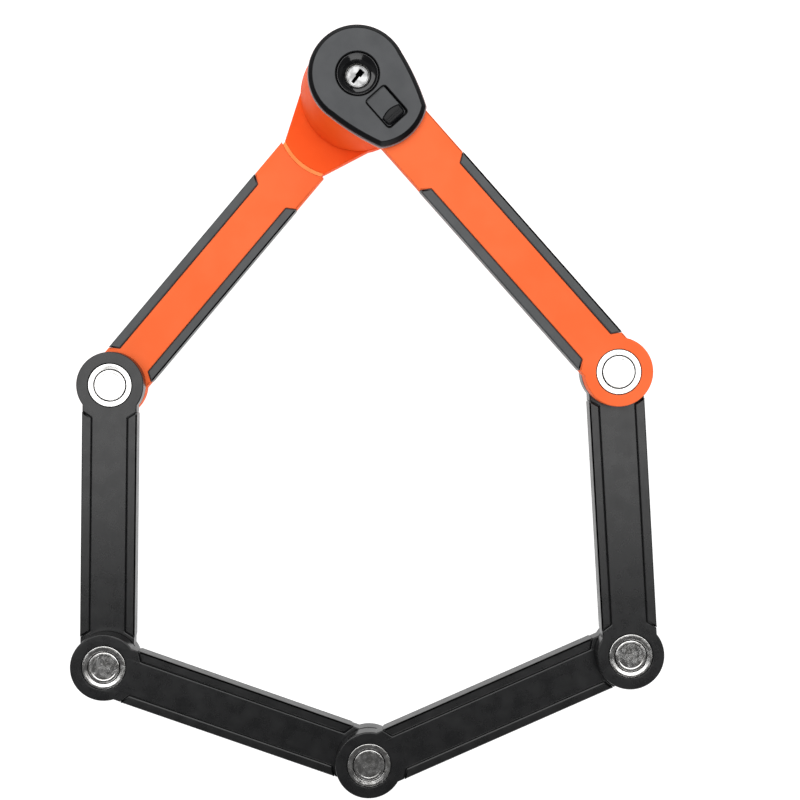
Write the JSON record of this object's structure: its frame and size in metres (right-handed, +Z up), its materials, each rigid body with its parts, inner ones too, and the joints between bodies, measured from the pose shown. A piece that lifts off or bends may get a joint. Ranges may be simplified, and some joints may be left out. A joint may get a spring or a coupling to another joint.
{
  "type": "folding bike lock",
  "caption": "Folding bicycle lock: flat steel links and two orange arms riveted in a loop that folds into a stack, closed by a key head with a keyhole slider.",
  "frame": {"origin": "centre of the bounding box of the closed loop, on its lowest face", "axes": "+Z up through the stack, from the left arm's underside to the head's cap; +Y from the bottom rivet towards the head; +X to the right, seen from above"},
  "size_m": [0.264, 0.3416, 0.046],
  "materials": {
    "orange_cover": "moulded satin orange nylon",
    "black_cover": "moulded black nylon, fine satin texture",
    "edge_strip": "soft dark grey bumper strip",
    "head_cap": "fine-textured dark grey cap with a blacker edge",
    "gloss_black": "glossy black ring",
    "pale_seal": "pale grey seal",
    "washer_nylon": "plain nylon",
    "core_steel": "hardened and zinc plated",
    "rivet_steel": "bright turned steel with a dished ring",
    "plug_steel": "bright turned plug",
    "cylinder_brass": "turned brass",
    "lock_steel": "plain hardened steel"
  },
  "bodies": {
    "lock_head": {"head_housing": "orange_cover", "head_gasket": "pale_seal", "head_cap": "head_cap", "key_bezel": "gloss_black", "lock_cylinder": "cylinder_brass", "cylinder_pin": "lock_steel", "bolt_spring": "lock_steel", "right_arm_core": "core_steel", "right_arm_cover": "orange_cover", "right_arm_outer_strip": "edge_strip", "right_arm_inner_strip": "edge_strip", "upper_right_rivet": "rivet_steel", "upper_right_head_ring": "rivet_steel", "upper_right_tail_ring": "rivet_steel", "upper_right_washer": "washer_nylon"},
    "right_link": {"right_link_core": "core_steel", "right_link_cover": "black_cover", "right_link_outer_strip": "edge_strip", "right_link_inner_strip": "edge_strip", "lower_right_rivet": "rivet_steel", "lower_right_head_ring": "rivet_steel", "lower_right_tail_ring": "rivet_steel", "lower_right_washer": "washer_nylon"},
    "lower_right_link": {"lower_right_link_core": "core_steel", "lower_right_link_cover": "black_cover", "lower_right_link_outer_strip": "edge_strip", "lower_right_link_inner_strip": "edge_strip", "bottom_rivet": "rivet_steel", "bottom_head_ring": "rivet_steel", "bottom_tail_ring": "rivet_steel", "bottom_washer": "washer_nylon"},
    "lower_left_link": {"lower_left_link_core": "core_steel", "lower_left_link_cover": "black_cover", "lower_left_link_outer_strip": "edge_strip", "lower_left_link_inner_strip": "edge_strip", "lower_left_rivet": "rivet_steel", "lower_left_head_ring": "rivet_steel", "lower_left_tail_ring": "rivet_steel", "lower_left_washer": "washer_nylon"},
    "left_link": {"left_link_core": "core_steel", "left_link_cover": "black_cover", "left_link_outer_strip": "edge_strip", "left_link_inner_strip": "edge_strip", "upper_left_rivet": "rivet_steel", "upper_left_head_ring": "rivet_steel", "upper_left_tail_ring": "rivet_steel", "upper_left_washer": "washer_nylon"},
    "left_arm": {"left_arm_core": "core_steel", "left_arm_cover": "orange_cover", "left_arm_outer_strip": "edge_strip", "left_arm_inner_strip": "edge_strip", "left_arm_collar": "orange_cover"},
    "key_plug": {"key_plug": "plug_steel", "bolt_cam": "lock_steel"},
    "locking_bolt": {"locking_bolt": "lock_steel"},
    "keyhole_slider": {"keyhole_slider": "head_cap"}
  },
  "joints": [
    {"name": "upper_right_pivot", "type": "hinge", "parent": "lock_head", "child": "right_link", "pos_m": [0.10911, 0.0198, 0.035], "axis": [0, 0, -1], "range_deg": [0, 141.6]},
    {"name": "lower_right_pivot", "type": "hinge", "parent": "right_link", "child": "lower_right_link", "pos_m": [0.11703, -0.10595, 0.028], "axis": [0, 0, -1], "range_deg": [0, 109.7]},
    {"name": "bottom_pivot", "type": "hinge", "parent": "lower_right_link", "child": "lower_left_link", "pos_m": [0.0013, -0.15579, 0.021], "axis": [0, 0, -1], "range_deg": [0, 136.6]},
    {"name": "lower_left_pivot", "type": "hinge", "parent": "lower_left_link", "child": "left_link", "pos_m": [-0.11703, -0.11249, 0.014], "axis": [0, 0, -1], "range_deg": [0, 109]},
    {"name": "upper_left_pivot", "type": "hinge", "parent": "left_link", "child": "left_arm", "pos_m": [-0.11461, 0.01349, 0.007], "axis": [0, 0, -1], "range_deg": [-120, 140.9]},
    {"name": "key_turn", "type": "hinge", "parent": "lock_head", "child": "key_plug", "pos_m": [-0.00355, 0.14509, 0.0413], "axis": [0, 0, -1], "range_deg": [0, 90]},
    {"name": "bolt_slide", "type": "slide", "parent": "lock_head", "child": "locking_bolt", "axis": [0, 0, -1], "range_m": [0, 0.0045], "stiffness_N_per_m": 60, "springref_m": -0.003, "deforming": ["bolt_spring"]},
    {"name": "slider_slide", "type": "slide", "parent": "lock_head", "child": "keyhole_slider", "axis": [-0.6686, 0.7436, 0], "range_m": [0, 0.0085]}
  ],
  "couplings": [
    {"joint": "lower_right_pivot", "follows": "upper_right_pivot", "ratio": 0.77471},
    {"joint": "bottom_pivot", "follows": "upper_right_pivot", "ratio": 0.96468},
    {"joint": "lower_left_pivot", "follows": "upper_right_pivot", "ratio": 0.76976},
    {"joint": "key_turn", "follows": "bolt_slide", "rad_per_m": 349.06}
  ]
}
